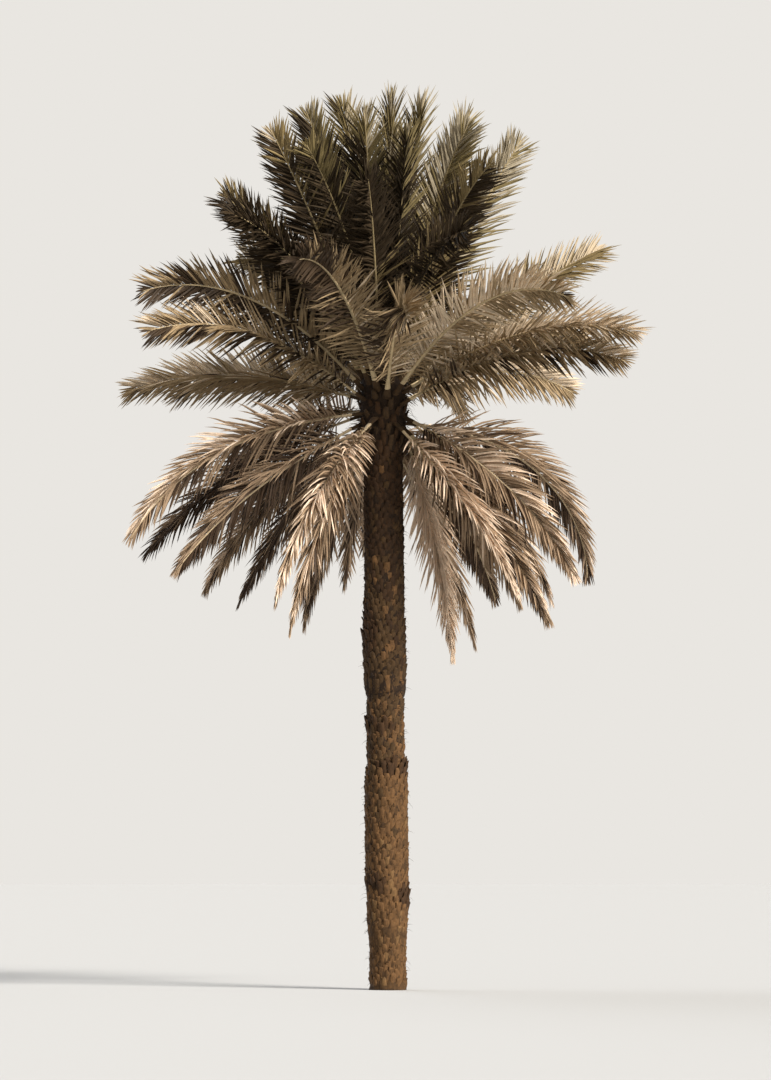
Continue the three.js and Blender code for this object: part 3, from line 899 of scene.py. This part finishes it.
class PALM_OT_heart(bpy.types.Operator):
    """Makes the heart: a fibrous dome, and round its column the stubs below the lowest fronds"""

    bl_idname = "palm.heart"
    bl_label = "Heart and its stubs"

    def execute(self, context):
        colours = context.scene.palm_colours
        sizes = context.scene.palm_sizes
        top = HEART_CENTRE + HEART_RISE * FIBRE_TOP
        heights = TRUNK_TOP - FIBRE_FOOT + (top - TRUNK_TOP) * np.linspace(0, 1, FIBRE_RINGS)
        rise = np.clip((heights - HEART_CENTRE) / HEART_RISE, 0, 1)
        column = np.interp(heights, COLUMN_HEIGHTS, COLUMN_RADII)
        profile = np.minimum(column, (HEART_RADIUS - FIBRE_INSET) * np.sqrt(1 - rise ** 2))
        angle, height = turns_of(FIBRE_SIDES), heights[:, None]
        swells = FIBRE_SWELL * waves(angle, height, seed=21, count=16, most_turns=14, shortest=0.1)
        threads = FIBRE_THREAD * waves(angle, height, seed=23, count=18, most_turns=44, shortest=0.2)
        radii = profile[:, None] + swells + threads
        copies = round_form(heights, radii, FIBRE_SIDES).reshape(1, -1, 3)
        piece(
            "heart_fibre", copies, loft_faces(FIBRE_RINGS, FIBRE_SIDES),
            [fibre_material("palm_fibre_sheath", colours.fibre)],
            smooth=True, replaces=["heart_of_leaf_bases"],
        )
        self.set_stubs(colours, sizes)
        return {"FINISHED"}

    def set_stubs(self, colours, sizes):
        """Stubs up the heart's column, left out where the base of a rib is."""
        index = np.arange(HEART_STUBS)
        azimuths = index * TURN * GOLDEN + 1
        heights = HEART_STUBS_FROM + HEART_STUBS_RUN * index / HEART_STUBS
        radii = np.interp(heights, HEART_STUB_HEIGHTS, HEART_STUB_RADII)
        middles = round_axis(azimuths, heights, radii + HEART_STUB_OUT) + [0, 0, HEART_STUB_UP]
        bases = np.array([frond.base for frond in FRONDS])
        clear = np.linalg.norm(middles[:, None] - bases[None], axis=2).min(axis=1) > RIB_CLEARANCE
        azimuths, heights, radii = azimuths[clear], heights[clear], radii[clear]
        rng = np.random.default_rng(31)
        count = len(heights)
        tilts = np.radians(varied(rng, count, *HEART_STUB_TILT))
        lengths = sizes.stub_length * varied(rng, count, *HEART_STUB_LENGTHS)
        widths = sizes.stub_half_width * varied(rng, count, *HEART_STUB_WIDTHS)
        copies = stub_copies(azimuths, heights, radii, tilts, lengths, widths, seed=32)
        slots = (rng.random(count) > 1 - FRESH_SHARE).astype(int)
        materials = [
            bark_material("palm_bark_heart_stubs", colours.bark_dark),
            bark_material("palm_bark_heart_stubs_fresh", colours.leaf_base),
        ]
        piece(
            "heart_leaf_stubs", copies, STUB_FACES, materials, slots,
            smooth=True, replaces=["heart_of_leaf_bases"],
        )


# Loose strands: where their rings stand as shares of their length, their sides and half width, how much
# they thin, how far they are turned about, their drops and lengths as shares, least and how much more, how
# widely their ways scatter and rise, how much paler than the fibre they are, how deep in the trunk's girth
# and at what radius of the heart they grow, and their least height over the ground
STRAND_STEPS = np.array([0, 0.35, 0.7])
STRAND_SIDES = 3
STRAND_HALF_WIDTH = 0.0028
STRAND_THINNING = 0.6
STRAND_TURNED = 0.3
STRAND_DROPS = (0.35, 0.4)
STRAND_LENGTHS = (0.35, 0.65)
STRAND_SCATTER = 0.5
STRAND_RISE = 0.35
STRAND_PALER = 1.5
STRAND_DEPTH = 0.01
HEART_STRAND_RADIUS = 0.27
STRANDS_CLEAR = 0.004

# Where strands fray: piece, count, least and greatest height, longest as a share of the longest of all, and
# the node and slot that the piece stands for
FRAYS = [
    ("trunk_fibre_strands", 900, 0.1, 6.5, 0.45, "trunk", "bark"),
    ("heart_fibre_strands", 520, 6.5, 7.5, 1.0, "heart_of_leaf_bases", "leaf_bases"),
]


def with_tips(rings, tips):
    """Rings of points and the point that each form ends in: (form, point, axis)."""
    return np.concatenate([rings.reshape(len(tips), -1, 3), tips[:, None]], axis=1)


def strand_copies(feet, ways, lengths, seed):
    """Loose strands of fibre that leave one way and hang down towards their ends."""
    rng = np.random.default_rng(seed)
    down = np.array([0, 0, -1.0])
    drop = varied(rng, len(feet), *STRAND_DROPS)
    shares = np.append(STRAND_STEPS, 1.0)
    course = feet[:, None] + lengths[:, None, None] * (
        ways[:, None] * shares[:, None] + down * (drop[:, None] * shares ** 2)[..., None]
    )
    side = unit(np.cross(ways, down + rng.normal(0, STRAND_TURNED, ways.shape)))
    over = np.cross(ways, side)
    half = STRAND_HALF_WIDTH * (1 - STRAND_THINNING * STRAND_STEPS) * np.ones((len(feet), 1))
    rings = sections(course[:, :-1], side[:, None], over[:, None], half, half, ring_outline(STRAND_SIDES))
    return with_tips(rings, course[:, -1])


class PALM_OT_strands(bpy.types.Operator):
    """Frays loose strands of fibre out from between the stubs of the trunk and heart"""

    bl_idname = "palm.strands"
    bl_label = "Loose fibre"

    def execute(self, context):
        colours = context.scene.palm_colours
        sizes = context.scene.palm_sizes
        faces = loft_faces(len(STRAND_STEPS), STRAND_SIDES, pointed=True)
        rng = np.random.default_rng(41)
        for name, count, low, high, share, node_name, slot in FRAYS:
            heights = varied(rng, count, low, high - low)
            azimuths = TURN * rng.random(count)
            rise = np.clip((heights - HEART_CENTRE) / HEART_RISE, 0, 1)
            on_trunk = girth_at(heights) - STRAND_DEPTH
            radii = np.where(heights < TRUNK_TOP, on_trunk, HEART_STRAND_RADIUS * np.sqrt(1 - rise ** 2))
            out = outward(azimuths)
            ways = unit(out + rng.normal(0, STRAND_SCATTER, out.shape) + [0, 0, STRAND_RISE])
            lengths = sizes.strand_length * share * varied(rng, count, *STRAND_LENGTHS)
            copies = strand_copies(round_axis(azimuths, heights, radii), ways, lengths, seed=42)
            copies[..., 2] = np.maximum(copies[..., 2], STRANDS_CLEAR)
            where = name.split("_")[0]
            material = fibre_material(f"palm_fibre_{where}_strands", shade(colours.fibre, STRAND_PALER))
            piece(name, copies, faces, [material], replaces=[node_name])
        return {"FINISHED"}


# A rib in section: round below and flatter above
RIB_SIDES = 8
RIB_ABOVE = 0.75
RIB_OUTLINE = ring_outline(RIB_SIDES)
RIB_OUTLINE[:, 1] *= np.where(RIB_OUTLINE[:, 1] > 0, RIB_ABOVE, 1)

# A rib's rings on its bare foot and along its blade, how far its foot reaches back into the heart, how much
# wider it is there, what share of that it is thicker and over what length both fade, and how many rungs of
# faces have the bark of a leaf base
FOOT_STATIONS = 6
BLADE_STATIONS = 25
FOOT_BEHIND = 0.13
FOOT_FLARE = 0.034
FOOT_THICKER = 0.25
FOOT_FADE = 0.1
BARK_RUNGS = 4


def rib_half_sizes(frond, shares):
    """Half widths and half thicknesses of a rib, which flares at its foot to clasp the heart."""
    widths = np.interp(shares, RIB_SHARES, RIB_HALF_WIDTHS)
    thicks = np.interp(shares, RIB_SHARES, RIB_HALF_THICKS)
    flare = FOOT_FLARE * np.exp(-(shares * frond.length + FOOT_BEHIND) / FOOT_FADE)
    return widths + flare, thicks + FOOT_THICKER * flare


class PALM_OT_ribs(bpy.types.Operator):
    """Draws the ribs of the fronds, each from its broad foot in the heart to its thin tip"""

    bl_idname = "palm.ribs"
    bl_label = "Ribs"

    def execute(self, context):
        colours = context.scene.palm_colours
        foot = np.linspace(0, BLADE_START, FOOT_STATIONS)
        stations = np.concatenate([foot, np.linspace(BLADE_START, 1, BLADE_STATIONS)[1:]])
        faces = loft_faces(len(stations) + 2, RIB_SIDES)
        rung = (np.arange(len(faces)) - 1) // RIB_SIDES
        for kind, _, slot in FROND_KINDS:
            copies = []
            for frond in fronds_of(kind):
                behind = np.array([-FOOT_BEHIND, -FOOT_BEHIND / 2]) / frond.length
                shares = np.concatenate([behind, stations])
                point, _, side, over = rib_frames(frond, shares)
                widths, thicks = rib_half_sizes(frond, shares)
                copies.append(sections(point, side, over, widths, thicks, RIB_OUTLINE).reshape(-1, 3))
            materials = [
                bark_material(f"palm_leaf_base_{kind}", colours.leaf_base),
                rib_material(f"palm_midrib_{kind}", getattr(colours, f"rib_{kind}")),
            ]
            slots = np.broadcast_to(np.where(rung < BARK_RUNGS, 0, 1), (len(copies), len(faces)))
            piece(
                f"{kind}_ribs", np.array(copies), faces, materials, slots,
                smooth=True, replaces=nodes_of(kind),
            )
        return {"FINISHED"}


# Spines: pairs on a rib, the shares of it between which they stand and how far off their places, the
# shortest as a share of the longest, how far they lean on along the rib, the least and most that they rise
# from it, how far out in its half width they are seated, and their half widths at two steps of their length
SPINE_PAIRS = 9
SPINES_FROM = 0.06
SPINES_TO = 0.17
SPINES_OFF = 0.004
SHORTEST_SPINE = 0.4
SPINE_LEAN = 0.75
SPINE_RISES = (-0.5, 0.8)
SPINE_SEAT = 0.85
SPINE_SIDES = 4
SPINE_STEPS = np.array([0, 0.5])
SPINE_HALF_WIDTHS = np.array([0.0042, 0.003])


class PALM_OT_spines(bpy.types.Operator):
    """Sets the long stiff spines, which are leaflets that never opened, on the foot of every rib"""

    bl_idname = "palm.spines"
    bl_label = "Spines"

    def execute(self, context):
        colours = context.scene.palm_colours
        sizes = context.scene.palm_sizes
        copies = []
        for frond in FRONDS:
            rng = np.random.default_rng(500 + frond.index)
            shares = np.repeat(np.linspace(SPINES_FROM, SPINES_TO, SPINE_PAIRS), 2)
            shares = shares + rng.uniform(-SPINES_OFF, SPINES_OFF, len(shares))
            hand = np.tile([1.0, -1.0], SPINE_PAIRS)[:, None]
            point, along, side, over = rib_frames(frond, shares)
            rise = rng.uniform(*SPINE_RISES, len(shares))[:, None]
            way = unit(side * hand + along * SPINE_LEAN + over * rise)
            widths, _ = rib_half_sizes(frond, shares)
            foot = point + side * hand * widths[:, None] * SPINE_SEAT
            further = (shares - SPINES_FROM) / (SPINES_TO - SPINES_FROM)
            grown = SHORTEST_SPINE + (1 - SHORTEST_SPINE) * further
            lengths = sizes.spine_length * grown * rng.uniform(0.8, 1, len(shares))
            copies.append(self.spikes(foot, way, over, lengths))
        material = rib_material("palm_spine_straw", colours.spine)
        faces = loft_faces(len(SPINE_STEPS), SPINE_SIDES, pointed=True)
        piece("frond_spines", np.concatenate(copies), faces, [material])
        return {"FINISHED"}

    def spikes(self, foot, way, over, lengths):
        """Spines that taper to a point: (spine, point, axis)."""
        side = unit(np.cross(over, way))
        up = np.cross(way, side)
        middles = foot[:, None] + way[:, None] * (lengths[:, None] * SPINE_STEPS)[..., None]
        half = SPINE_HALF_WIDTHS * np.ones((len(foot), 1))
        rings = sections(middles, side[:, None], up[:, None], half, half, ring_outline(SPINE_SIDES))
        return with_tips(rings, foot + way * lengths[:, None])


# A leaflet: where its rings stand as shares of its length, its widths there as shares of the greatest, how
# far each half folds up from flat, what it keeps of the full width however short it is, and how far out and
# up in the rib its foot is seated, as shares of the rib's half width and half thickness
LEAFLET_STEPS = np.array([0, 0.13, 0.45, 0.78])
LEAFLET_WIDTHS = np.array([0.4, 0.92, 1.0, 0.6])
FOLD = math.radians(38)
WIDTH_KEPT = 0.55
SEATED_OUT = 0.6
SEATED_UP = 0.5

# How leaflets vary: places by shares of the way between two pairs, angles and planes in radians, lengths
# down to a share, and rolls in radians at the foot and on towards the tip. Even a young one sags a little,
# and the sag of an old one grows as a power of its age
PLACES_VARY = 0.4
ANGLES_VARY = 0.07
PLANES_VARY = 0.12
SHORTEST_LEAFLET = 0.86
FOOT_ROLL = 0.35
TIP_ROLL = 0.5
LEAST_SAG = 0.04
SAG_POWER = 1.5

# The last pairs of leaflets fan out round the rib's tip, closing in to it
TIP_FAN = 5
FAN_END = 0.995
FAN_CLOSING = 0.75
FAN_PLANES_VARY = 0.3

# How much of the tone a frond, a spray and a leaflet each decide, the painted light that the sunny side adds,
# and the painted light added to the half of a frond that is turned up or out, taken off as painted shade from
# the other half
FROND_TONE = 0.36
SPRAY_TONE = 0.28
LEAFLET_TONE = 0.24
SUNNY_TONE = 0.18
PAINTED_HALF_LIGHT_AND_SHADE = 0.12

# The tone lost at these slopes of a frond, and the slope from which fronds count as steep and over how much
# they grow steep, the painted shade that darkens them at the heart, and how soon that fades outwards, less
# soon at the front
TONE_SLOPES = np.radians([-75, -35, -5, 20, 60])
TONE_LOSSES = [-0.24, 0.13, -0.04, -0.01, -0.17]
STEEP_FROM = math.radians(20)
STEEP_OVER = math.radians(25)
STEEP_PAINTED_SHADE = 0.95
STEEP_FADE = 1.9
FRONT_FADE = 1.3

# How much painted shade darkens fronds at these slopes that come straight at the viewer, beyond a share of
# their rib
SHADED_SLOPES = np.radians([10, 20, 40, 55])
SHADED_LOSSES = [0, 1, 1, 0]
SHADED_FROM = 0.25


def leaflet_rows(frond, in_spray, rng):
    """Where a frond's leaflets grow: shares of the rib, hands, angles from it, planes, lengths and sprays."""
    pairs = SPRAY_PAIRS * in_spray
    pair = np.repeat(np.arange(pairs), 2)
    hand = np.tile([1.0, -1.0], pairs)
    blade = (pair + 0.5 + rng.uniform(-PLACES_VARY, PLACES_VARY, len(pair))) / pairs
    angle = leaflet_angle(blade, frond.age) + rng.normal(0, ANGLES_VARY, len(pair))
    turn = (pair + (hand < 0)) % len(LEAFLET_PLANES)
    plane = LEAFLET_PLANES[turn] + rng.normal(0, PLANES_VARY, len(pair))
    share = BLADE_START + (BLADE_END - BLADE_START) * blade
    length = leaflet_length(blade, frond.age) * rng.uniform(SHORTEST_LEAFLET, 1, len(pair))
    spray = pair // in_spray * 2 + (hand < 0)
    fan = np.repeat((np.arange(TIP_FAN) + 0.5) / TIP_FAN, 2)
    fan_hand = np.tile([1.0, -1.0], TIP_FAN)
    fan_share = BLADE_END + (FAN_END - BLADE_END) * fan
    fan_angle = leaflet_angle(1, frond.age) * (1 - FAN_CLOSING * fan)
    fan_plane = rng.normal(0, FAN_PLANES_VARY, len(fan))
    fan_length = ((1 - fan_share) * frond.length + LEAFLET_BEYOND) / np.cos(fan_angle)
    fan_spray = np.full(len(fan), 2 * SPRAY_PAIRS)
    blade_rows = (share, hand, angle, plane, length, spray)
    fan_rows = (fan_share, fan_hand, fan_angle, fan_plane, fan_length, fan_spray)
    return [np.concatenate(rows) for rows in zip(blade_rows, fan_rows)]


def leaflet_tones(frond, share, spray, rng):
    """How pale each leaflet is, from 0 to 1: by frond, by spray and by itself, paler on the sunny right.
    Steep fronds are darker towards the heart with painted shade, and the further out the nearer they are to
    the front. Fronds that rise straight at the viewer get painted shade on their outer half, as on a shaded
    side, and the half of every frond that its twist turns down or in is darker with painted shade, the other
    half paler."""
    sunny = 0.5 + 0.5 * math.cos(frond.facing)
    steep = min(1, max(0, (frond.slope - STEEP_FROM) / STEEP_OVER))
    front = max(0, -math.sin(frond.facing))
    sprays = 2 * SPRAY_PAIRS + 1
    by_spray = scatter(frond.index * sprays + spray, 0.7)
    tone = FROND_TONE * scatter(2 * frond.index, 0.65) + SPRAY_TONE * by_spray
    tone = tone + LEAFLET_TONE * rng.random(len(spray)) + SUNNY_TONE * sunny
    tone = tone - np.interp(frond.slope, TONE_SLOPES, TONE_LOSSES)
    # Painted light on the half of a frond that its twist turns up or out, painted shade on the half turned
    # down or in
    hand = 1 - 2 * (spray % 2)
    tone = tone + PAINTED_HALF_LIGHT_AND_SHADE * hand * math.copysign(1, frond.twist)
    # Painted shade: steep fronds darker towards the heart
    tone = tone - STEEP_PAINTED_SHADE * steep * (1 - share) ** (STEEP_FADE - FRONT_FADE * front)
    # Painted shade on the outer half of fronds that rise straight at the viewer
    shaded = front ** 4 * np.interp(frond.slope, SHADED_SLOPES, SHADED_LOSSES)
    return np.clip(tone - shaded * (share - SHADED_FROM), 0, 0.999)


def leaflet_copies(frond, sizes):
    """A frond's leaflets, each folded along its keel, and the tone of each."""
    rng = np.random.default_rng(100 + frond.index)
    share, hand, angle, plane, length, spray = leaflet_rows(frond, sizes.leaflets_in_spray, rng)
    point, along, side, over = rib_frames(frond, share)
    hand, angle, plane = hand[:, None], angle[:, None], plane[:, None]
    aside = side * hand * np.sin(angle) * np.cos(plane) + over * np.sin(angle) * np.sin(plane)
    way = along * np.cos(angle) + aside
    droop = np.array([0, 0, -1.0]) * (OLD_SAG * frond.age ** SAG_POWER + LEAST_SAG)
    scale = (length / np.linalg.norm(way + droop, axis=1))[:, None, None]
    widths, thicks = rib_half_sizes(frond, share)
    foot = point + side * hand * (SEATED_OUT * widths)[:, None]
    foot = foot + over * np.sin(plane) * (SEATED_UP * thicks)[:, None]
    steps = np.append(LEAFLET_STEPS, 1.0)[None, :, None]
    course = foot[:, None] + scale * (way[:, None] * steps + droop * steps ** 2)
    heading = unit(way[:, None] + 2 * droop * steps)
    roll = rng.normal(0, FOOT_ROLL, len(share))[:, None]
    roll = roll + steps[..., 0] * rng.normal(0, TIP_ROLL, len(share))[:, None]
    flat = unit(over[:, None] - heading * (over[:, None] * heading).sum(axis=2, keepdims=True))
    cross = np.cross(flat, heading)
    normal = flat * np.cos(roll)[..., None] + cross * np.sin(roll)[..., None]
    cross = np.cross(normal, heading)
    width = WIDTH_KEPT + (1 - WIDTH_KEPT) * length[:, None] / LEAFLET_LENGTH
    half = sizes.leaflet_width / 2 * LEAFLET_WIDTHS * width
    edge = half * math.cos(FOLD)
    rise = half * math.sin(FOLD)
    keel = sizes.leaflet_thickness / 2 * np.ones_like(half)
    course_in, cross_in, normal_in = course[:, :-1], cross[:, :-1], normal[:, :-1]
    rings = np.stack([
        course_in + cross_in * edge[..., None] + normal_in * rise[..., None],
        course_in + normal_in * keel[..., None],
        course_in - cross_in * edge[..., None] + normal_in * rise[..., None],
        course_in - normal_in * keel[..., None],
    ], axis=2)
    return with_tips(rings, course[:, -1]), leaflet_tones(frond, share, spray, rng)


# How far the stubs stand out of the trunk's girth
STUB_ROOM = 0.03


def clear_of_stem(copies):
    """Which leaflets stay out of the trunk and heart, read at the far half of each."""
    far = copies[:, copies.shape[1] // 2:]
    x, y, z = far[..., 0] - axis_at(far[..., 2]), far[..., 1], far[..., 2]
    radius = np.where(z < TRUNK_TOP, girth_at(z) + STUB_ROOM, np.where(z < HEART_CENTRE, HEART_RADIUS, 0))
    return (np.hypot(x, y) > radius).all(axis=1)


class PALM_OT_leaflets(bpy.types.Operator):
    """Carries every spray of every frond on to its folded leaflets"""

    bl_idname = "palm.leaflets"
    bl_label = "Leaflets"

    def execute(self, context):
        colours = context.scene.palm_colours
        sizes = context.scene.palm_sizes
        faces = loft_faces(len(LEAFLET_STEPS), 4, pointed=True)
        for kind, _, slot in FROND_KINDS:
            materials = [
                leaflet_material(f"palm_leaflet_{kind}_{tone}", getattr(colours, f"{kind}_{tone}"))
                for tone in (1, 2, 3)
            ]
            copies, slots = [], []
            for frond in fronds_of(kind):
                grown, tone = leaflet_copies(frond, sizes)
                clear = clear_of_stem(grown)
                copies.append(grown[clear])
                # The tone, painted light and shade in it, picks the dark, middle or pale material of each
                # leaflet
                slots.append(np.floor(3 * tone).astype(int)[clear])
            piece(
                f"{kind}_leaflets", np.concatenate(copies), faces, materials, np.concatenate(slots),
                replaces=nodes_of(kind),
            )
        return {"FINISHED"}


STEPS = (
    PALM_OT_stage, PALM_OT_trunk, PALM_OT_trunk_stubs, PALM_OT_heart, PALM_OT_strands,
    PALM_OT_ribs, PALM_OT_spines, PALM_OT_leaflets,
)


class PALM_PT_sidebar(bpy.types.Panel):
    """Lists the settings and the steps that build the palm."""

    bl_idname = "PALM_PT_sidebar"
    bl_label = "Date Palm"
    bl_space_type = "VIEW_3D"
    bl_region_type = "UI"
    bl_category = "Palm"

    def draw(self, context):
        for settings in (context.scene.palm_sizes, context.scene.palm_colours, context.scene.palm_stage):
            box = self.layout.box()
            for name in settings.__annotations__:
                box.prop(settings, name)
        for step in STEPS:
            self.layout.operator(step.bl_idname)


CLASSES = (PalmColours, PalmSizes, PalmStage, *STEPS, PALM_PT_sidebar)


def register():
    for made in CLASSES:
        bpy.utils.register_class(made)
    bpy.types.Scene.palm_colours = PointerProperty(type=PalmColours)
    bpy.types.Scene.palm_sizes = PointerProperty(type=PalmSizes)
    bpy.types.Scene.palm_stage = PointerProperty(type=PalmStage)


def unregister():
    del bpy.types.Scene.palm_stage
    del bpy.types.Scene.palm_sizes
    del bpy.types.Scene.palm_colours
    for made in reversed(CLASSES):
        bpy.utils.unregister_class(made)


def main():
    register()
    bpy.ops.palm.stage()
    bpy.ops.palm.trunk()
    bpy.ops.palm.trunk_stubs()
    bpy.ops.palm.heart()
    bpy.ops.palm.strands()
    bpy.ops.palm.ribs()
    bpy.ops.palm.spines()
    bpy.ops.palm.leaflets()


if __name__ == "__main__":
    main()
